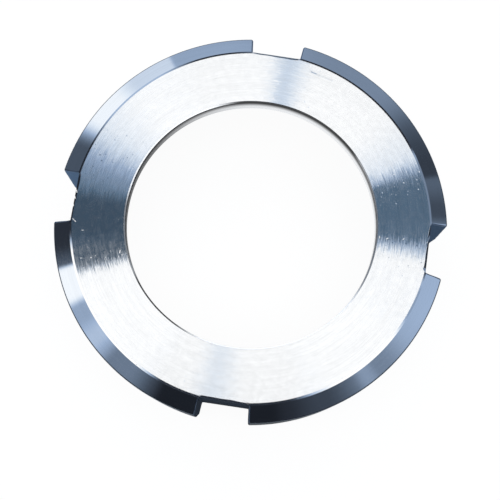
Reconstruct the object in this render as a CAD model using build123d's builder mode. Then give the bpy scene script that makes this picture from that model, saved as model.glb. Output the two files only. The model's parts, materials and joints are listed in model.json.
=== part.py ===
"""Slotted round union nut for a hygienic pipe union, turned from one piece of stainless steel.

The nut lies on its open, threaded end, so the collar with its flat face and plain bore is on top.
Lengths are in millimetres and angles in degrees. The origin is on the axis, at the open end.
The four slots, for a hook spanner, lie on the X and Y axes.
"""

import os
from math import radians, tan

from build123d import *

# Collar, which draws the pipe liner's shoulder against the seal
height = 21.0
collar_thickness = 5.0
bore_diameter = 49.5
bore_edge_chamfer = 0.25
seat_edge_chamfer = 1.4

# Round thread of six turns to the inch, drawn as a plain wall at its core diameter
thread_diameter = 65.0
threads_per_inch = 6
core_depth_in_pitches = 0.45
relief_width = 3.0
relief_clearance = 0.5
relief_corner_radius = 0.8
runout_angle = 45.0
entry_clearance = 0.4
entry_angle = 45.0

# Rim: the wall left between relief and slots, the front bevel and the taper to the open end
slot_wall_thickness = 2.15
bevel_width = 3.7
bevel_angle = 26.0
face_edge_radius = 0.9
rim_edge_radius = 0.4
taper_length = 7.0
taper_angle = 6.0
back_edge_radius = 0.5

# Spanner slots, milled along the whole height, with a flat floor and walls that open outwards
slot_count = 4
slot_depth = 3.85
slot_floor_width = 9.8
slot_flare_angle = 5.4
slot_root_radius = 0.2
slot_edge_chamfer = 0.3
cutter_overrun = 1.0

# Radii of the turned section
thread_pitch = 25.4 / threads_per_inch
bore_radius = bore_diameter / 2
core_radius = thread_diameter / 2 - core_depth_in_pitches * thread_pitch
relief_radius = thread_diameter / 2 + relief_clearance
entry_radius = thread_diameter / 2 + entry_clearance
slot_floor_radius = relief_radius + slot_wall_thickness
outer_radius = slot_floor_radius + slot_depth
face_radius = outer_radius - bevel_width
back_radius = outer_radius - taper_length * tan(radians(taper_angle))

# Heights of the turned section, from the open end up
entry_depth = (entry_radius - core_radius) * tan(radians(entry_angle))
runout_depth = (relief_radius - core_radius) * tan(radians(runout_angle))
seat_height = height - collar_thickness
relief_height = seat_height - relief_width
bevel_depth = bevel_width * tan(radians(bevel_angle))

# Plan of the slot cutter
slot_cut_depth = slot_depth + cutter_overrun
slot_mouth_width = slot_floor_width + 2 * slot_cut_depth * tan(radians(slot_flare_angle))

# Corners of the turned section: distance from the axis, height and corner radius
section_corners = [
    # outside, from the open end up to the face
    (back_radius, 0, back_edge_radius),
    (outer_radius, taper_length, 0),
    (outer_radius, height - bevel_depth, rim_edge_radius),
    (face_radius, height, face_edge_radius),
    # collar bore, from the face down to the seat
    (bore_radius + bore_edge_chamfer, height, 0),
    (bore_radius, height - bore_edge_chamfer, 0),
    (bore_radius, seat_height + seat_edge_chamfer, 0),
    (bore_radius + seat_edge_chamfer, seat_height, 0),
    # thread relief and thread core, from the seat down to the open end
    (relief_radius, seat_height, relief_corner_radius),
    (relief_radius, relief_height, 0),
    (core_radius, relief_height - runout_depth, 0),
    (core_radius, entry_depth, 0),
    (entry_radius, 0, 0),
]


def distance_from_axis(edge):
    """How far the middle of an edge lies from the nut's axis."""
    middle = edge.center()
    return Vector(middle.X, middle.Y).length


with BuildPart() as union_nut:
    # The turned ring
    with BuildSketch(Plane.XZ) as section:
        with BuildLine():
            FilletPolyline(
                [(distance, level) for distance, level, _ in section_corners],
                radius=[rounding for _, _, rounding in section_corners],
                close=True,
            )
        make_face()
    revolve(axis=Axis.Z)

    # The slots, each with rounded roots
    with BuildSketch(Plane.XY) as slot_plan:
        with PolarLocations(slot_floor_radius, slot_count):
            Trapezoid(
                slot_mouth_width,
                slot_cut_depth,
                90 + slot_flare_angle,
                rotation=-90,
                align=(Align.CENTER, Align.MIN),
            )
        roots = slot_plan.vertices().sort_by_distance((0, 0))[: 2 * slot_count]
        fillet(roots, slot_root_radius)
    extrude(amount=height, mode=Mode.SUBTRACT)

    # The slot walls, the smallest flat faces, have every edge broken except the one at the root
    slot_walls = union_nut.faces().filter_by(GeomType.PLANE).sort_by(SortBy.AREA)[: 2 * slot_count]
    outer_edges = [wall.edges().sort_by(distance_from_axis)[1:] for wall in slot_walls]
    chamfer(outer_edges, slot_edge_chamfer)

union_nut.part.label = "union_nut"

os.makedirs("parts", exist_ok=True)
export_step(union_nut.part, "parts/union_nut.step")
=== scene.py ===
"""Looks of a slotted union nut, lying on its threaded end and seen from the collar side.

Lengths are in millimetres, apart from names that end in _m, and the angles set here are in degrees.
Directions called "view angles" are counted anticlockwise from the right of the picture.
"""

import json
import math

import bmesh
import bpy
import numpy as np
from mathutils import Matrix, Vector


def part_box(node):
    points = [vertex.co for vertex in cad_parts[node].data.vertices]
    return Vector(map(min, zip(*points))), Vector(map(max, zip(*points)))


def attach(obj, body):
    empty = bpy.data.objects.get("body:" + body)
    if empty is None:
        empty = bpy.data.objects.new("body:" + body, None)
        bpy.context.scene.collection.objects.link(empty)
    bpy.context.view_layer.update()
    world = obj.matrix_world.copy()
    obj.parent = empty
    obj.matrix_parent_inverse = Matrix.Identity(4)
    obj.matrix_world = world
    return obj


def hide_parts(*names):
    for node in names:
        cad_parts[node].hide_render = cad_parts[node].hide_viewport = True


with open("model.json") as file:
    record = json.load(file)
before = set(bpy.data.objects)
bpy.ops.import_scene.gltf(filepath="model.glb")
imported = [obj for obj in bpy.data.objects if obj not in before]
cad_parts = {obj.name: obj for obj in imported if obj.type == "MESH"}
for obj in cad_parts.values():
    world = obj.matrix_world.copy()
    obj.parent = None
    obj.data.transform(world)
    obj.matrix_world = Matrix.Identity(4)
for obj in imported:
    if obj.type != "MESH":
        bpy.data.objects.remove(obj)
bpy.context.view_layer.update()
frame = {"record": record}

MM = 0.001
NODE = "union_nut"
mounts = {mount["name"]: mount for mount in frame["record"]["mounts"]}

# The nut's section, as turned
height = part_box(NODE)[1].z / MM
bore_radius = mounts["collar_bore"]["dims"]["r_mm"]
core_radius = mounts["thread"]["dims"]["r_mm"]
collar_thickness = 5.0
bore_edge_chamfer = 0.25
seat_edge_chamfer = 1.4
thread_diameter = 65.0
threads_per_inch = 6
relief_width = 3.0
relief_clearance = 0.5
relief_corner_radius = 0.8
entry_clearance = 0.4
slot_wall_thickness = 2.15
slot_depth = 3.85
bevel_width = 3.7
bevel_angle = 26.0
rim_edge_radius = 0.4
taper_length = 7.0
taper_angle = 6.0
back_edge_radius = 0.5
edge_break = 0.12

# The narrow flat between face and bevel, less steep than the bevel
edge_flat_width = 0.43
edge_flat_angle = 20.5

# The round thread's form: its radii and root clearance in pitches and its flank angle, remembered
# from DIN 405 for a nut, and how softly the groove runs out into the plain section
crest_radius_in_pitches = 0.221047
root_radius_in_pitches = 0.255967
root_clearance_in_pitches = 0.05
flank_angle = 15.0
thread_softness = 0.05

# The spanner slots
slot_count = 4
slot_floor_width = 9.8
slot_flare_angle = 5.4
slot_root_radius = 0.2

# The teeth's edges: lightly broken over the front, rounder down the rim, sharp at the slot roots
slot_edge_radius = 0.3
tooth_corner_radius = 0.45
edge_unevenness = 0.2
edge_fade_length = 0.3

# The lip over each slot's floor, as steep as the edge flat
lip_width = 0.42
lip_widening = 0.03
lip_unevenness = 0.08
lip_wave_rate = 0.25

# How finely the mesh follows the shape
arc_step = 11.0
least_arc_steps = 3
run_step = 0.9
support_step = 0.1
largest_support_share = 0.3
thread_row_step = 0.18
slot_column_step = 0.35
root_arc_points = 7
tooth_corner_points = 8
lip_row_shares = (0, 0.15, 1)
sharp_angle = 28.0
join_distance = 0.001
tiny = 1e-6

# Where the rings of the inside, face and back end, and the teeth's and slots' own points begin
blend_radius = 34.6

# Radii of the section
thread_pitch = 25.4 / threads_per_inch
relief_radius = thread_diameter / 2 + relief_clearance
entry_radius = thread_diameter / 2 + entry_clearance
slot_floor_radius = relief_radius + slot_wall_thickness
outer_radius = slot_floor_radius + slot_depth
face_radius = outer_radius - bevel_width
back_radius = outer_radius - taper_length * math.tan(math.radians(taper_angle))
flat_slope = math.tan(math.radians(edge_flat_angle))
flat_inner = edge_flat_width * (1 - flat_slope / math.tan(math.radians(bevel_angle)))
flat_start = face_radius - flat_inner
flat_end = flat_start + edge_flat_width
corner_reach = rim_edge_radius * math.tan(math.radians(90 - bevel_angle) / 2)

# Heights of the section
seat_height = height - collar_thickness
relief_height = seat_height - relief_width
rim_height = height - bevel_width * math.tan(math.radians(bevel_angle))
bore_start_height = height - bore_edge_chamfer
bore_end_height = seat_height + seat_edge_chamfer


def rounded_line(corners):
    """Points along an open section line, its corners (distance, height, radius) rounded."""
    places = [np.array(corner[:2], float) for corner in corners]
    arcs = [[places[0]]]
    for before, corner, after, (_, _, radius) in zip(places, places[1:], places[2:], corners[1:]):
        back, ahead = before - corner, after - corner
        back, ahead = back / np.linalg.norm(back), ahead / np.linalg.norm(ahead)
        turn = math.pi - math.acos(np.clip(back @ ahead, -1, 1))
        if radius == 0 or turn < 1e-4:
            arcs.append([corner])
            continue
        middle = corner + (back + ahead) / np.linalg.norm(back + ahead) * radius / math.cos(turn / 2)
        start = corner + back * radius * math.tan(turn / 2) - middle
        side = math.copysign(1, start[0] * ahead[1] - start[1] * ahead[0])
        count = max(least_arc_steps, math.ceil(math.degrees(turn) / arc_step))
        arc = []
        for k in range(count + 1):
            angle = side * turn * k / count
            cosine, sine = math.cos(angle), math.sin(angle)
            arc.append(middle + [start[0] * cosine - start[1] * sine, start[0] * sine + start[1] * cosine])
        arcs.append(arc)
    arcs.append([places[-1]])
    points = list(arcs[0])
    for arc in arcs[1:]:
        points += straight_run(points[-1], arc[0])
        points += arc
    return np.array(points)


def straight_run(start, end):
    """Points inside a straight run, close to both ends and evenly spaced between."""
    length = np.linalg.norm(end - start)
    if length < 4 * support_step:
        return []
    count = max(1, math.ceil((length - 2 * support_step) / run_step))
    shares = np.linspace(support_step, length - support_step, count + 1) / length
    return [start + (end - start) * share for share in shares]


def thread_groove(turns):
    """Radius of the round thread's groove, by turns of the helix past a root."""
    crest_radius = crest_radius_in_pitches * thread_pitch
    root_radius = root_radius_in_pitches * thread_pitch
    major_radius = (thread_diameter + 2 * root_clearance_in_pitches * thread_pitch) / 2
    flank = math.radians(flank_angle)
    along = np.abs((turns + 0.5) % 1 - 0.5) * thread_pitch
    root = major_radius - root_radius + np.sqrt(np.maximum(root_radius**2 - along**2, 0))
    from_crest = thread_pitch / 2 - along
    crest = core_radius + crest_radius - np.sqrt(np.maximum(crest_radius**2 - from_crest**2, 0))
    root_end = root_radius * math.cos(flank)
    crest_end = crest_radius * math.cos(flank)
    flank_start = major_radius - root_radius * (1 - math.sin(flank))
    flank_end = core_radius + crest_radius * (1 - math.sin(flank))
    share = (along - root_end) / (thread_pitch / 2 - crest_end - root_end)
    flank_line = flank_start + (flank_end - flank_start) * share
    return np.where(along < root_end, root, np.where(from_crest < crest_end, crest, flank_line))


def smooth_larger(first, second):
    """The larger of two lengths, with the change from one to the other rounded."""
    return (first + second + np.sqrt((first - second) ** 2 + thread_softness**2)) / 2


def wall_angle(distance):
    """Angle, in radians, from a slot's middle line to its wall, at a distance from the axis."""
    flare = math.radians(slot_flare_angle)
    offset = slot_floor_width / 2 * math.cos(flare) - slot_floor_radius * math.sin(flare)
    return flare + np.arcsin(offset / np.maximum(distance, root_distance))


def slot_root():
    """The slot floor's root arc: its centre (x, y) and where it meets the wall (x, y)."""
    flare = math.radians(slot_flare_angle)
    middle_x = slot_floor_radius + slot_root_radius
    end_x = middle_x - slot_root_radius * math.sin(flare)
    end_y = slot_floor_width / 2 + (end_x - slot_floor_radius) * math.tan(flare)
    middle_y = end_y - slot_root_radius * math.cos(flare)
    return (middle_x, middle_y), (end_x, end_y)


(root_middle_x, root_middle_y), (root_end_x, root_end_y) = slot_root()
root_distance = math.hypot(root_end_x, root_end_y)

inner_line = rounded_line([
    (blend_radius, 0, 0),
    (entry_radius, 0, 0),
    (core_radius, entry_radius - core_radius, 0),
    (core_radius, relief_height - (relief_radius - core_radius), 0),
    (relief_radius, relief_height, edge_break),
    (relief_radius, seat_height, relief_corner_radius),
    (bore_radius + seat_edge_chamfer, seat_height, edge_break),
    (bore_radius, bore_end_height, edge_break),
    (bore_radius, bore_start_height, edge_break),
    (bore_radius + bore_edge_chamfer, height, edge_break),
    (blend_radius, height, 0),
])
outer_line = rounded_line([
    (blend_radius, height, 0),
    (flat_start, height, edge_break),
    (flat_end, height - edge_flat_width * flat_slope, edge_break),
    (outer_radius, rim_height, rim_edge_radius),
    (outer_radius, taper_length, 0),
    (back_radius, 0, back_edge_radius),
    (blend_radius, 0, 0),
])


def with_root_points(line):
    """The outer line with a point at the slot roots' distance, on the front and on the back."""
    widest = int(np.argmax(line[:, 0]))
    front, back = line[: widest + 1], line[widest + 1 :]
    root_level = np.interp(root_distance, front[:, 0], front[:, 1])
    front_place = int(np.searchsorted(front[:, 0], root_distance))
    front = np.insert(front, front_place, [root_distance, root_level], axis=0)
    back_place = int(np.searchsorted(-back[:, 0], -root_distance))
    back = np.insert(back, back_place, [root_distance, 0], axis=0)
    return np.concatenate([front, back]), front_place, len(front) + back_place


def outward(line):
    """Unit normals of a section line that runs clockwise, seen with the axis on the left."""
    ahead = np.gradient(line, axis=0)
    normals = np.stack([-ahead[:, 1], ahead[:, 0]], 1)
    return normals / np.linalg.norm(normals, axis=1)[:, None]


# The outer line with its rows at the slot roots, its normals, the way along it, its widest row, and
# the rows of the slot walls with how far down the wall each is
outer_line, front_row, back_row = with_root_points(outer_line)
outer_normals = outward(outer_line)
outer_path = np.concatenate([[0], np.cumsum(np.linalg.norm(np.diff(outer_line, axis=0), axis=1))])
widest_row = int(np.argmax(outer_line[:, 0]))
wall_rows = slice(front_row, back_row + 1)
down_wall = np.arange(back_row - front_row + 1) / (back_row - front_row)


def front_height(distance):
    """Height of the nut's front, face or bevel, at a distance from the axis."""
    front = outer_line[: widest_row + 1]
    return np.interp(distance, front[:, 0], front[:, 1])


def ripple(along, seed):
    """A slow irregular wave between about -1 and 1, different for each seed."""
    waves = ((1.7, 0.31), (3.9, 0.77), (7.3, 0.53))
    return sum(np.sin(along * rate + seed * (2.1 + 5 * phase)) for rate, phase in waves) / 3


def polar(distance, angle, level):
    """Points in space, as an array whose last axis is x, y, z."""
    distance, angle, level = np.broadcast_arrays(distance, angle, level)
    return np.stack([distance * np.cos(angle), distance * np.sin(angle), level], -1)


class Mesh:
    """Grids of points gathered into one mesh, joined where their borders meet."""

    def __init__(self):
        self.vertices = []
        self.faces = []
        self.materials = []

    def grid(self, points, material):
        rows, columns = points.shape[:2]
        first = len(self.vertices)
        self.vertices += [tuple(point) for point in points.reshape(-1, 3) * MM]
        self.materials += np.broadcast_to(material, (rows - 1, columns - 1)).ravel().tolist()
        for row in range(rows - 1):
            for column in range(columns - 1):
                corner = first + row * columns + column
                self.faces.append((corner, corner + 1, corner + columns + 1, corner + columns))

    def build(self, name, materials):
        mesh = bpy.data.meshes.new(name)
        mesh.from_pydata(self.vertices, [], self.faces)
        for material in materials:
            mesh.materials.append(material)
        mesh.polygons.foreach_set("material_index", self.materials)
        work = bmesh.new()
        work.from_mesh(mesh)
        bmesh.ops.remove_doubles(work, verts=work.verts, dist=join_distance * MM)
        bmesh.ops.recalc_face_normals(work, faces=work.faces)
        work.to_mesh(mesh)
        work.free()
        mesh.shade_smooth()
        mesh.set_sharp_from_angle(angle=math.radians(sharp_angle))
        piece = bpy.data.objects.new(name, mesh)
        bpy.context.scene.collection.objects.link(piece)
        return piece


FACE, EDGE, BEVEL, PAINTED_DARK_CORNER, RIM, INSIDE, BORE_EDGE, BORE, MILLED_PAINTED_SHADE = range(9)


def outer_material(distance, level):
    """Which finish the outside has, by distance from the axis and height."""
    if level < rim_height - corner_reach:
        return RIM
    # The corner between bevel and rim takes a steel painted dark, a painted reflection
    if distance > outer_radius - corner_reach * math.cos(math.radians(bevel_angle)):
        return PAINTED_DARK_CORNER
    if distance > flat_end:
        return BEVEL
    return EDGE if distance > flat_start else FACE


def inner_material(level):
    """Which finish the inside and the face beside it have, by height."""
    if level > height - tiny:
        return FACE
    if level > bore_start_height:
        return BORE_EDGE
    return BORE if level > bore_end_height else INSIDE


def slot_plan():
    """Points (x, y) across a slot's floor and both root arcs, from one wall to the other."""
    flare = math.radians(slot_flare_angle)
    turns = np.linspace(math.pi / 2 + flare, math.pi, root_arc_points)
    arc = [
        (root_middle_x + slot_root_radius * math.cos(turn), root_middle_y + slot_root_radius * math.sin(turn))
        for turn in turns
    ]
    half = root_middle_y
    count = 2 * math.ceil(half / slot_column_step)
    floor = [(slot_floor_radius, y) for y in np.linspace(half, -half, count + 1)[1:-1]]
    upper = arc + floor
    lower = [(x, -y) for x, y in reversed(arc)]
    return np.array(list(reversed(upper + lower)))


# Columns of points across a slot
slot_points = slot_plan()
slot_distance = np.hypot(slot_points[:, 0], slot_points[:, 1])
slot_angle = np.arctan2(slot_points[:, 1], slot_points[:, 0])

# Columns of points across a tooth, counted from its first wall and close together beside both walls
slot_spacing = math.tau / slot_count
tooth_width = (slot_spacing - 2 * wall_angle(outer_radius)) * outer_radius
corner_turns = np.radians(np.linspace(0, 90, tooth_corner_points))
corner_steps = tooth_corner_radius * (1 - np.cos(corner_turns))
middle_steps = straight_run(np.array([corner_steps[-1]]), np.array([tooth_width - corner_steps[-1]]))
from_wall = np.concatenate([corner_steps, np.array(middle_steps).ravel(), tooth_width - corner_steps[::-1]])
nearest_wall = np.minimum(from_wall, tooth_width - from_wall)
tooth_shares = from_wall / tooth_width


def ring_angles():
    """Angles of the points all round: across each slot and the tooth after it, back to the start."""
    root_angle = wall_angle(root_distance)
    angles = []
    for k in range(slot_count):
        turn = math.tau * k / slot_count
        angles.append(turn + slot_angle[:-1])
        tooth = turn + root_angle + tooth_shares * (slot_spacing - 2 * root_angle)
        angles.append(tooth[:-1])
    angles = np.concatenate(angles)
    return np.append(angles, angles[0] + math.tau)


def add_inside(mesh, angles):
    """Entry bevel, thread, relief, seat, bore and face as rings of points."""
    threaded = inner_line[:, 1] < relief_height - tiny
    start = int(np.argmin(np.abs(inner_line[:, 0] - entry_radius) + inner_line[:, 1]))
    end = int(np.nonzero(threaded)[0][-1]) + 1
    count = math.ceil(relief_height / thread_row_step)
    levels = np.linspace(0, inner_line[end, 1], count + 1)
    plain = np.interp(levels, inner_line[start : end + 1, 1], inner_line[start : end + 1, 0])
    turns = levels[:, None] / thread_pitch - angles[None, :] / math.tau
    threads = smooth_larger(plain[:, None], thread_groove(turns))
    threads[0], threads[-1] = plain[0], plain[-1]
    rows = [polar(distance, angles, level) for distance, level in inner_line[:start]]
    rows += [polar(distance, angles, level) for distance, level in zip(threads, levels)]
    rows += [polar(distance, angles, level) for distance, level in inner_line[end + 1 :]]
    rows = np.stack(rows)
    material = [inner_material(level) for level in (rows[:-1, 0, 2] + rows[1:, 0, 2]) / 2]
    mesh.grid(rows, np.array(material)[:, None])


def tooth_rounding(k):
    """Radius of tooth k's corners at each row, beside its first wall and beside its second."""
    from_root = np.minimum(outer_path - outer_path[front_row], outer_path[back_row] - outer_path)
    fade = np.clip(from_root / edge_fade_length, 0, 1)
    fade = fade * fade * (3 - 2 * fade)
    front = slice(widest_row + 1)
    change_start = np.interp(outer_radius - 2 * corner_reach, outer_line[front, 0], outer_path[front])
    change = (change_start, change_start + corner_reach)
    corner_radius = np.interp(outer_path, change, (slot_edge_radius, tooth_corner_radius))
    rounding = []
    for side in (0, 1):
        uneven = 1 - edge_unevenness * np.maximum(ripple(outer_path, 7 * k + 3 * side + 1), 0)
        rounding.append(corner_radius * uneven * fade)
    return rounding


def tooth_materials():
    """Each face's finish in a tooth's grid, where the strips beside its walls are milled, in painted shade.
    """
    row_middles = (outer_line[:-1] + outer_line[1:]) / 2
    row_material = [outer_material(distance, level) for distance, level in row_middles]
    material = np.repeat(np.array(row_material)[:, None], len(tooth_shares) - 1, axis=1)
    milled_shaded_strips = int(np.searchsorted(corner_steps, slot_edge_radius)) - 1
    # The strips beside the walls take the milled steel with its painted shade
    material[front_row:back_row, :milled_shaded_strips] = MILLED_PAINTED_SHADE
    material[front_row:back_row, -milled_shaded_strips:] = MILLED_PAINTED_SHADE
    return material


def add_tooth(mesh, k, turn):
    """The tooth after slot k, with its corners rounded, and its two walls."""
    next_turn = turn + slot_spacing
    rounding = tooth_rounding(k)
    own_side = np.where(from_wall < tooth_width / 2, 0, 1)
    radius = np.stack([rounding[side] for side in own_side], 1)
    reach = np.maximum(radius - nearest_wall[None, :], 0)
    inset = radius - np.sqrt(np.maximum(radius**2 - reach**2, 0))
    distance = outer_line[:, 0, None] - inset * outer_normals[:, 0, None]
    level = outer_line[:, 1, None] - inset * outer_normals[:, 1, None]
    first = turn + wall_angle(distance)
    last = next_turn - wall_angle(distance)
    tooth = polar(distance, first + (last - first) * tooth_shares, level)
    mesh.grid(tooth, tooth_materials())
    root_angle = wall_angle(root_distance)
    add_wall(mesh, tooth[wall_rows, 0], turn + root_angle)
    add_wall(mesh, tooth[wall_rows, -1], next_turn - root_angle)


def add_wall(mesh, outline, root_turn):
    """A slot's wall, from the tooth's edge to the root, with support points close to both."""
    root_line = polar(root_distance, root_turn, outline[0, 2] * (1 - down_wall))
    across = root_line - outline
    reach = np.linalg.norm(across, axis=1)[:, None]
    small = np.minimum(support_step / np.maximum(reach, tiny), largest_support_share)
    wall = np.stack([outline, outline + across * small, root_line - across * small, root_line], 1)
    mesh.grid(wall, MILLED_PAINTED_SHADE)


def add_slot(mesh, k, turn):
    """Slot k: the face and the lip in front of its floor, the floor, and the back behind it."""
    angle = turn + slot_angle
    sideways = slot_points[:, 1]
    lip = lip_width - lip_widening * sideways
    lip = lip + lip_unevenness * ripple(sideways * lip_wave_rate, 5 * k + 2)
    lip = lip * np.clip((root_middle_y - np.abs(sideways)) / lip_width, 0, 1)

    front = (outer_line[: front_row + 1, 0] - blend_radius) / (root_distance - blend_radius)
    strip = blend_radius + (slot_distance - lip - blend_radius) * front[:, None]
    mesh.grid(polar(strip, angle, front_height(strip)), FACE)

    over_lip = np.array(lip_row_shares)[:, None] * lip
    lip_level = front_height(strip[-1]) - over_lip * flat_slope
    mesh.grid(polar(strip[-1] + over_lip, angle, lip_level), EDGE)
    mesh.grid(polar(slot_distance, angle, lip_level[-1] * (1 - down_wall[:, None])), MILLED_PAINTED_SHADE)

    back = (outer_line[back_row:, 0] - blend_radius) / (root_distance - blend_radius)
    strip = blend_radius + (slot_distance - blend_radius) * back[:, None]
    mesh.grid(polar(strip, angle, 0.0), RIM)


def build_nut(materials):
    """The whole nut as one closed mesh: inside, teeth, slot walls and slot floors."""
    mesh = Mesh()
    add_inside(mesh, ring_angles())
    for k in range(slot_count):
        turn = math.tau * k / slot_count
        add_tooth(mesh, k, turn)
        add_slot(mesh, k, turn)
    return mesh.build("nut_turned", materials)


class Nodes:
    """Shorthand for a node tree's nodes: values and links go in by socket."""

    def __init__(self, tree):
        self.tree = tree
        tree.nodes.clear()

    def add(self, kind, **settings):
        node = self.tree.nodes.new(kind)
        for name, value in settings.items():
            setattr(node, name, value)
        return node

    def put(self, socket, value):
        if isinstance(value, bpy.types.NodeSocket):
            self.tree.links.new(value, socket)
        else:
            socket.default_value = value

    def output(self, kind, surface):
        self.put(self.add(kind).inputs[0], surface)

    def math(self, operation, first, second=None, third=None):
        node = self.add("ShaderNodeMath", operation=operation)
        for socket, value in zip(node.inputs, (first, second, third)):
            if value is not None:
                self.put(socket, value)
        return node.outputs[0]

    def vector(self, operation, first, second=None, scale=None, out=0):
        node = self.add("ShaderNodeVectorMath", operation=operation)
        self.put(node.inputs[0], first)
        if second is not None:
            self.put(node.inputs[1], second)
        if scale is not None:
            self.put(node.inputs["Scale"], scale)
        return node.outputs[out]

    def parts(self, vector):
        node = self.add("ShaderNodeSeparateXYZ")
        self.put(node.inputs[0], vector)
        return node.outputs

    def ramp(self, share, stops):
        node = self.add("ShaderNodeValToRGB")
        ramp = node.color_ramp
        while len(ramp.elements) < len(stops):
            ramp.elements.new(1)
        for element, (place, colour) in zip(ramp.elements, stops):
            element.position = place
            element.color = (*colour, 1) if isinstance(colour, tuple) else grey(colour)
        self.put(node.inputs[0], share)
        return node.outputs[0]

    def noise(self, place, scale, detail, roughness, w=None):
        node = self.add("ShaderNodeTexNoise", noise_dimensions="4D" if w is not None else "3D")
        self.put(node.inputs["Vector"], place)
        self.put(node.inputs["Scale"], scale)
        self.put(node.inputs["Detail"], detail)
        self.put(node.inputs["Roughness"], roughness)
        if w is not None:
            self.put(node.inputs["W"], w)
        return node.outputs[0]

    def between(self, value, low, high, out_low=0.0, out_high=1.0, smooth=True):
        node = self.add("ShaderNodeMapRange", interpolation_type="SMOOTHSTEP" if smooth else "LINEAR")
        for socket, number in zip(node.inputs, (value, low, high, out_low, out_high)):
            self.put(socket, number)
        return node.outputs[0]

    def mix(self, share, first, second, blend="MIX"):
        node = self.add("ShaderNodeMix", data_type="RGBA", blend_type=blend)
        for socket, value in zip((node.inputs[0], node.inputs[6], node.inputs[7]), (share, first, second)):
            self.put(socket, value)
        return node.outputs[2]


def grey(tone):
    """A tone as a colour."""
    return (tone, tone, tone, 1)


def new_material(name):
    """An empty material, with the shorthand for its nodes."""
    material = bpy.data.materials.new(name)
    material.use_nodes = True
    return material, Nodes(material.node_tree)


# How far the nut is turned against the picture
view_turn = 8.57


def on_view(right, up):
    """A direction or place given as right and up in the picture, turned to the nut's own axes."""
    return Matrix.Rotation(math.radians(view_turn), 3, "Z") @ Vector((right, up, 0))


# Marks on the face: right of the axis and above it in the picture, the view angle that each
# runs along, its length and width, and how far it tilts the surface sideways
nicks = [
    ("left edge, upper", -34.4, 6.3, 100, 0.5, 0.3, 0.25),
    ("left edge, middle", -34.7, 5.0, 100, 0.4, 0.3, 0.25),
    ("left edge, lower", -35.0, 3.6, 100, 0.6, 0.3, 0.25),
    ("left slash", -34.7, 0.4, -45, 0.9, 0.22, 0.15),
    ("left spot", -33.0, -1.6, 0, 0.4, 0.18, 0.11),
    ("left inner spot", -25.6, -5.9, 80, 0.5, 0.2, 0.12),
    ("upper left spot", -30.0, 13.7, 0, 0.2, 0.25, 0.15),
    ("top scratch", 14.4, 30.3, -24, 4.5, 0.5, 0.27),
    ("top mark", 12.6, 31.1, -24, 1.5, 0.4, 0.28),
    ("right inner spot", 25.2, -3.0, 90, 0.2, 0.45, 0.3),
    ("right spot", 26.7, -3.3, 30, 0.4, 0.35, 0.25),
    ("right outer spot", 29.9, -3.4, 30, 0.3, 0.35, 0.25),
    ("right edge", 34.8, -3.5, 65, 1.5, 0.3, 0.25),
]

# Small dents all over the face: none where the noise is below the first limit, full above the second
dents_per_mm = 2.2
dent_limits = (0.7, 0.78)
dent_tilt = 0.06

# How light the bore's wall is painted, from its front edge down to its inner end: painted shade and
# reflection, dark just below the edge and lighter further down, in place of what the wall mirrors
painted_bore_wall_tones = [(0, 0.01), (0.1, 0.1), (0.2, 0.24), (0.4, 0.6), (0.6, 0.93)]

# How light the bore's front edge is painted, bright but for these stretches, given like the tent's
# cards below: painted reflections, in place of the light and dark that the edge mirrors
painted_bore_edge_ring = (1.0, [
    ("right", 325, 28, 8, 6, 0.35),
    ("upper right", 28, 102, 8, 8, 0.06),
    ("left", 168, 203, 5, 5, 0.35),
    ("lower left", 203, 241, 6, 9, 0.06),
])


def face_wear(nodes, place):
    """How far the face and its edge tilt sideways in their dents and nicks."""
    spot = nodes.between(nodes.noise(place, dents_per_mm / MM, detail=1, roughness=0.5), *dent_limits)
    tilt = nodes.math("MULTIPLY", spot, dent_tilt)
    flat = nodes.vector("MULTIPLY", place, (1, 1, 0))
    for _, right, up, heading, length, width, nick_tilt in nicks:
        turn = math.radians(heading)
        ahead = on_view(math.cos(turn), math.sin(turn))
        away = nodes.vector("SUBTRACT", flat, tuple(on_view(right, up) * MM))
        along = nodes.vector("DOT_PRODUCT", away, tuple(ahead), out=1)
        half = length / 2 * MM
        along = nodes.math("MAXIMUM", nodes.math("MINIMUM", along, half), -half)
        nearest = nodes.vector("SCALE", tuple(ahead), scale=along)
        gap = nodes.vector("DISTANCE", away, nearest, out=1)
        tilt = nodes.math("MULTIPLY_ADD", nodes.between(gap, width / 2 * MM, 0), nick_tilt, tilt)
    return tilt


def painted_bore_wall(nodes, place):
    """Painted shade on the bore's wall: dark below its front edge, and lighter further down."""
    _, _, level = nodes.parts(place)
    share = nodes.between(level, bore_start_height * MM, bore_end_height * MM, smooth=False)
    return nodes.ramp(share, painted_bore_wall_tones)


def painted_bore_edge(nodes, place):
    """Painted reflection on the bore's front edge: light where it is bright, round the circle, dark
    elsewhere.
    """
    x, y, _ = nodes.parts(place)
    turn = nodes.math("DEGREES", nodes.math("ARCTAN2", y, x))
    return ring_tone(nodes, nodes.math("SUBTRACT", turn, view_turn), painted_bore_edge_ring)


# Fine marks round the axis, counted across them, and how much shorter those are that tilt sideways.
# Streaks darken the steel where the marks' noise is below the upper limit.
marks_per_mm = 6.0
side_mark_shortness = 2.0
streak_limits = (0.35, 0.65)

# Broad bands round the axis, counted across them, and how dark the darkest are
bands_per_mm = 0.9
band_limits = (0.3, 0.7)
band_tone = 0.96

# Cloudy patches where the finish is duller or brighter, mixed with the fine marks
clouds_per_mm = 0.9
cloud_weight = 2
cloud_limits = (1.1, 1.9)

# Reflections spread across the marks, this share of a turn from the tangent
spread_turn = 0.25


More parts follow.
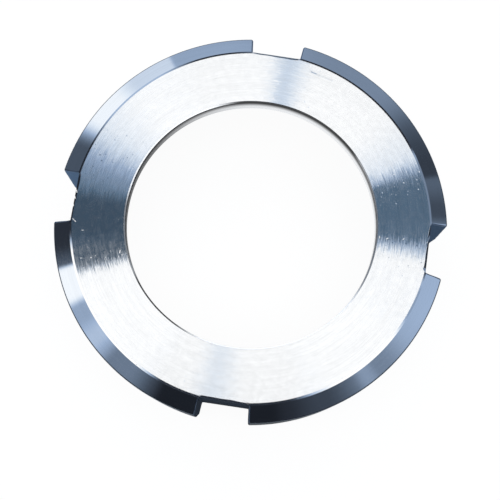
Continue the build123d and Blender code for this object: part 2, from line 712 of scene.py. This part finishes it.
def steel(name, colour, roughness, anisotropy, marks, lean=0.0, side_marks=0.0, streaks=0.04,
          clouds=0.1, glancing=(1, 1, 1), shade=None, wear=None):
    """Turned steel: fine marks round the nut's axis, which spread its reflections across them.

    The marks tilt the surface across themselves and side_marks along themselves, while lean tilts all
    of it one way. Streaks and clouds say how much tone and roughness vary, and glancing is the tint
    of what is mirrored at a glancing angle. Shade darkens by place, as painted shade and painted
    reflection, and wear adds dents and nicks.
    """
    material, nodes = new_material(name)
    place = nodes.add("ShaderNodeTexCoord").outputs["Object"]
    flat = nodes.vector("MULTIPLY", place, (1, 1, 0))
    distance = nodes.vector("LENGTH", flat, out=1)
    direction = nodes.vector("NORMALIZE", flat)
    round_place = nodes.vector("ADD", direction, nodes.vector("MULTIPLY", place, (0, 0, 1 / MM)))
    radius_mm = nodes.math("DIVIDE", distance, MM)
    fine = nodes.noise(round_place, marks_per_mm, detail=3, roughness=0.6, w=radius_mm)
    short_place = nodes.vector("SCALE", round_place, scale=side_mark_shortness)
    sideways = nodes.noise(short_place, marks_per_mm, detail=3, roughness=0.6, w=radius_mm)
    broad = nodes.noise(round_place, bands_per_mm, detail=2, roughness=0.5, w=radius_mm)

    tangent = nodes.add("ShaderNodeTangent", direction_type="RADIAL", axis="Z").outputs[0]
    geometry = nodes.add("ShaderNodeNewGeometry")
    across = nodes.vector("CROSS_PRODUCT", tangent, geometry.outputs["Normal"])
    amount = nodes.math("ADD", lean, nodes.math("MULTIPLY", nodes.math("SUBTRACT", fine, 0.5), 2 * marks))
    leaned = nodes.vector("ADD", geometry.outputs["Normal"], nodes.vector("SCALE", across, scale=amount))
    tilt = nodes.math("MULTIPLY", nodes.math("SUBTRACT", sideways, 0.5), 2 * side_marks)
    if wear:
        tilt = nodes.math("ADD", tilt, wear(nodes, place))
    tilted = nodes.vector("ADD", leaned, nodes.vector("SCALE", tangent, scale=tilt))
    normal = nodes.vector("NORMALIZE", tilted)

    bands = nodes.between(broad, *band_limits, band_tone, 1.0)
    streaked = nodes.between(fine, *streak_limits, 1 - streaks, 1.0, smooth=False)
    tone = nodes.math("MULTIPLY", bands, streaked)
    shader = nodes.add("ShaderNodeBsdfPrincipled")
    shader.inputs["Metallic"].default_value = 1.0
    shader.inputs["Specular Tint"].default_value = (*glancing, 1)
    # A given shade is painted shade and reflection by place: it darkens the colour by its full amount and the
    # glancing tint by half as much
    if shade:
        shaded = shade(nodes, place)
        tone = nodes.math("MULTIPLY", tone, shaded)
        half_shaded = nodes.math("MULTIPLY_ADD", shaded, 0.5, 0.5)
        nodes.put(shader.inputs["Specular Tint"], nodes.vector("SCALE", glancing, scale=half_shaded))
    nodes.put(shader.inputs["Base Color"], nodes.vector("SCALE", colour, scale=tone))
    patches = nodes.noise(place, clouds_per_mm / MM, detail=3, roughness=0.65)
    cloud = nodes.math("MULTIPLY_ADD", patches, cloud_weight, fine)
    dull = nodes.between(cloud, *cloud_limits, roughness * (1 - clouds), roughness * (1 + clouds))
    nodes.put(shader.inputs["Roughness"], dull)
    shader.inputs["Anisotropic"].default_value = anisotropy
    shader.inputs["Anisotropic Rotation"].default_value = spread_turn
    nodes.put(shader.inputs["Tangent"], tangent)
    nodes.put(shader.inputs["Normal"], normal)
    nodes.output("ShaderNodeOutputMaterial", shader.outputs[0])
    return material


# How the nut lies in the camera's view: the middle of its face as right, up and back from the camera,
# how far it is swung about the camera's upright, and how far it is tipped back
face_in_view = (0.20, 5.47, -196.5)
view_swing = 0.56
view_tip = 11.27

# The camera's lens, and the range that it sees
sensor_width = 36
focal_length = 72
clip_range_m = (0.01, 50)


def place_camera():
    """The camera stands over the nut, just past its lower edge in the picture."""
    camera = bpy.data.objects.new("camera", bpy.data.cameras.new("camera"))
    bpy.context.scene.collection.objects.link(camera)
    camera.data.sensor_width = sensor_width
    camera.data.lens = focal_length
    camera.data.clip_start, camera.data.clip_end = clip_range_m
    view = (
        Matrix.Translation(Vector(face_in_view) * MM)
        @ Matrix.Rotation(math.radians(view_swing), 4, "Y")
        @ Matrix.Rotation(math.radians(-view_tip), 4, "X")
        @ Matrix.Rotation(math.radians(-view_turn), 4, "Z")
        @ Matrix.Translation((0, 0, -height * MM))
    )
    camera.matrix_world = view.inverted()
    bpy.context.scene.camera = camera
    return camera


# Cards hung in the light tent, each from one view angle on to another, with the softness of its two
# edges and its tone. They hang in three rings round the pole, on cloth of the tone that comes first.
face_ring = (1.0, [
    ("upper right haze", 18, 30, 3, 10, 0.85),
    ("right", 349.5, 18, 4, 4, 0.1),
    ("top", 72, 80, 6, 4, 0.62),
    ("upper left haze", 139, 152, 9, 3, 0.86),
    ("upper left", 152, 166, 7, 4, 0.48),
    ("left", 161.5, 197, 11, 1, 0.06),
    ("bottom", 253, 262, 5, 6, 0.82),
])
edge_ring = (1.0, [
    ("right slot", 340, 357, 3, 2, 0.03),
    ("right", 357, 22, 2, 3, 0.2),
    ("top", 22, 187, 3, 3, 0.02),
    ("top slot", 74, 92, 3, 3, 0.12),
    ("upper left window", 115, 147, 8, 8, 0.42),
    ("bottom", 236, 290, 5, 8, 0.03),
    ("lower right", 324, 340, 5, 3, 0.3),
])
bevel_ring = (0.33, [
    ("right", 358, 44, 4, 20, 0.065),
    ("right gap", 8, 14, 4, 1, 0.11),
    ("upper right", 14, 24, 1, 6, 0.045),
    ("top", 40, 80, 10, 20, 0.22),
    ("upper window", 116, 152, 0.7, 4, 0.6),
    ("upper left window", 133, 149, 4, 3, 0.84),
    ("left", 152, 194, 4, 0.7, 0.08),
    ("left middle", 175, 190, 4, 3, 0.03),
    ("left window", 194, 205, 0.7, 1.5, 0.86),
    ("lower left strip", 213, 220, 3, 2, 0.46),
    ("lower left", 223, 241, 2, 3, 0.175),
    ("lower right", 275, 305, 8, 13, 0.055),
    ("bottom", 237, 284, 6, 8, 0.015),
    ("lower right strip", 304, 308, 2, 1, 0.27),
    ("lower right gap", 309, 318, 1, 7, 0.2),
    ("lower right window", 324, 352, 9, 4, 0.39),
])
skirt_tone = 0.02
tent_strength = 1.37
tent_radius_m = 2.0

# Where each ring gives way to the next, and the last to the dark skirt, in degrees from the pole
face_ring_end = (45, 48)
edge_ring_end = (55, 58)
bevel_ring_end = (70, 76)

# The colour that goes with each tone. The dark cards that the face mirrors are bluer than the others.
light_colours = [(0.4, (0.31, 0.41, 0.58)), (0.75, (0.68, 0.76, 0.86)), (1, (1.0, 1.0, 1.0))]
face_ring_colours = [(0, (0, 0, 0)), (0.03, (0.015, 0.028, 0.047)), (0.12, (0.085, 0.145, 0.22))]
outer_colours = [(0, (0, 0, 0)), (0.03, (0.020, 0.025, 0.036)), (0.12, (0.085, 0.116, 0.166))]

# A card's place is counted from this many degrees before its start, so that it doesn't wrap round
before_card = 40


def ring_tone(nodes, turn, ring):
    """The tone round one ring of the tent, by view angle in degrees."""
    cloth, cards = ring
    tone = grey(cloth)
    for _, start, end, start_softness, end_softness, card_tone in cards:
        past = nodes.math("MODULO", nodes.math("ADD", turn, 2 * 360 + before_card - start), 360)
        stop = before_card + (end - start) % 360
        opening = nodes.between(past, before_card - start_softness, before_card + start_softness)
        closing = nodes.between(past, stop + end_softness, stop - end_softness)
        tone = nodes.mix(nodes.math("MULTIPLY", opening, closing), tone, grey(card_tone))
    return tone


def light_tent(camera):
    """A white tent with dark panels, in rings round the direction where the face mirrors the camera."""
    bpy.ops.mesh.primitive_uv_sphere_add(segments=64, ring_count=32, radius=tent_radius_m)
    tent = bpy.context.object
    tent.name = "light_tent"
    tent.rotation_euler.z = math.radians(view_turn)
    above = camera.matrix_world.translation - Vector((0, 0, height * MM))
    pole = (-above.x, -above.y, above.z)
    pole = (Matrix.Rotation(-tent.rotation_euler.z, 3, "Z") @ Vector(pole)).normalized()
    material, nodes = new_material("tent_cloth")
    place = nodes.vector("NORMALIZE", nodes.add("ShaderNodeTexCoord").outputs["Object"])
    x, y, _ = nodes.parts(nodes.vector("SUBTRACT", place, (pole.x, pole.y, 0)))
    turn = nodes.math("DEGREES", nodes.math("ARCTAN2", y, x))
    from_pole = nodes.math("ARCCOSINE", nodes.vector("DOT_PRODUCT", place, tuple(pole), out=1))
    from_pole = nodes.math("DEGREES", from_pole)
    outer = ring_tone(nodes, turn, edge_ring)
    outer = nodes.mix(nodes.between(from_pole, *edge_ring_end), outer, ring_tone(nodes, turn, bevel_ring))
    outer = nodes.mix(nodes.between(from_pole, *bevel_ring_end), outer, grey(skirt_tone))
    face_tint = nodes.ramp(ring_tone(nodes, turn, face_ring), face_ring_colours + light_colours)
    outer_tint = nodes.ramp(outer, outer_colours + light_colours)
    tint = nodes.mix(nodes.between(from_pole, *face_ring_end), face_tint, outer_tint)
    glow = nodes.add("ShaderNodeEmission")
    nodes.put(glow.inputs["Color"], tint)
    glow.inputs["Strength"].default_value = tent_strength
    nodes.output("ShaderNodeOutputMaterial", glow.outputs[0])
    tent.data.materials.append(material)
    tent.data.shade_smooth()
    tent.visible_camera = False


def seen_white(nodes):
    """1 for rays that see the white background: from the camera, by gloss or through glass."""
    path = nodes.add("ShaderNodeLightPath")
    seen = nodes.math("MAXIMUM", path.outputs["Is Camera Ray"], path.outputs["Is Glossy Ray"])
    return nodes.math("MAXIMUM", seen, path.outputs["Is Transmission Ray"])


# The floor, a hair below the nut, and the colour of the world's own light
floor_radius_m = 12
floor_drop_m = 2e-5
floor_colour = (0.8, 0.8, 0.8, 1)
world_colour = (0.8, 0.82, 0.85, 1)

# How much of the floor's look is plain white, and not its own shade with the nut's shadow, and how
# strong that white is
seen_white_share = 0.88
white_strength = 1.07

# Painted shadow on the floor round the nut, seen only in its reflections: the shadow's place to
# the right of the axis and above it in the picture, where it starts to fade, where it ends, and its tone
painted_floor_shadows = [
    ("in the bore, upper left", -19, 9, 7, 24, 0.15),
    ("below the nut", 0, -48, 14, 36, 0.1),
    ("right of the nut", 48, -2, 8, 24, 0.45),
]


def mirrored_floor(nodes):
    """The white floor with its painted soft shadow, by place on the floor."""
    place = nodes.add("ShaderNodeTexCoord").outputs["Object"]
    tone = grey(1.0)
    for _, right, up, start, end, shade in painted_floor_shadows:
        away = nodes.vector("DISTANCE", place, tuple(on_view(right, up) * MM), out=1)
        fade = nodes.between(away, start * MM, end * MM)
        tone = nodes.mix(1.0, tone, nodes.mix(fade, grey(shade), grey(1.0)), "MULTIPLY")
    return tone


def pale_floor():
    """A pale floor, seen as white with the nut's shadow on it."""
    low = (0, 0, -floor_drop_m)
    bpy.ops.mesh.primitive_circle_add(vertices=96, radius=floor_radius_m, fill_type="NGON", location=low)
    floor = bpy.context.object
    floor.name = "floor"
    material, nodes = new_material("floor_pale")
    pale = nodes.add("ShaderNodeBsdfDiffuse")
    pale.inputs["Color"].default_value = floor_colour
    path = nodes.add("ShaderNodeLightPath")
    through = nodes.math("MAXIMUM", path.outputs["Is Glossy Ray"], path.outputs["Is Transmission Ray"])
    white = nodes.add("ShaderNodeEmission")
    nodes.put(white.inputs["Color"], nodes.mix(through, grey(1.0), mirrored_floor(nodes)))
    white.inputs["Strength"].default_value = white_strength
    share = nodes.math("MULTIPLY_ADD", path.outputs["Is Camera Ray"], seen_white_share, through)
    mixed = nodes.add("ShaderNodeMixShader")
    nodes.put(mixed.inputs[0], share)
    nodes.put(mixed.inputs[1], pale.outputs[0])
    nodes.put(mixed.inputs[2], white.outputs[0])
    nodes.output("ShaderNodeOutputMaterial", mixed.outputs[0])
    floor.data.materials.append(material)


def white_world():
    """A world that is seen as white and sheds a slightly darker, bluer light."""
    world = bpy.data.worlds.new("studio")
    world.use_nodes = True
    nodes = Nodes(world.node_tree)
    background = nodes.add("ShaderNodeBackground")
    nodes.put(background.inputs["Color"], nodes.mix(seen_white(nodes), world_colour, grey(1.0)))
    nodes.output("ShaderNodeOutputWorld", background.outputs[0])
    bpy.context.scene.world = world


light_tent(place_camera())
pale_floor()
white_world()

steel_colour = (0.82, 0.82, 0.82)
nut = build_nut([
    steel("steel_face", (0.79, 0.80, 0.81), 0.155, 1.0, lean=0.22, marks=0.06, side_marks=0.035,
          streaks=0.1, clouds=0.17, wear=face_wear),
    steel("steel_edge", steel_colour, 0.08, 0.0, marks=0.01, wear=face_wear),
    steel("steel_bevel", steel_colour, 0.07, 0.5, marks=0.006),
    # painted reflection: the corner between bevel and rim is near black and bluish, a painted dark line along
    # the bevel's outer edge
    steel("steel_corner", (0.13, 0.155, 0.19), 0.25, 0.5, marks=0.04, glancing=(0.4, 0.45, 0.5)),
    # painted shade: the rim's steel is darker and bluer than the face's, for the shadowed floor it mirrors
    steel("steel_rim", (0.36, 0.41, 0.48), 0.3, 0.8, marks=0.06),
    # painted shade: the inside's steel is darker and bluer than the face's
    steel("steel_inside", (0.36, 0.39, 0.43), 0.3, 0.8, marks=0.08, glancing=(0.6, 0.6, 0.6)),
    # painted reflections on the bore's front edge: light and dark stretches round it
    steel("steel_bore_edge", (0.90, 0.92, 0.95), 0.25, 0.0, lean=0.6, marks=0.02, shade=painted_bore_edge),
    # painted shade on the bore's wall: dark below its front edge, lighter further down
    steel("steel_bore", (0.90, 0.92, 0.95), 0.2, 0.8, marks=0.04, shade=painted_bore_wall),
    # painted shade: the milled slot walls and floors are dark and bluish, for the shadowed floor and dark
    # surroundings that they mirror
    steel("steel_milled", (0.12, 0.16, 0.23), 0.34, 0.3, marks=0.08, glancing=(0.36, 0.45, 0.58)),
])
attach(nut, "root")
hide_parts(NODE)

bpy.context.scene.view_settings.view_transform = "Standard"
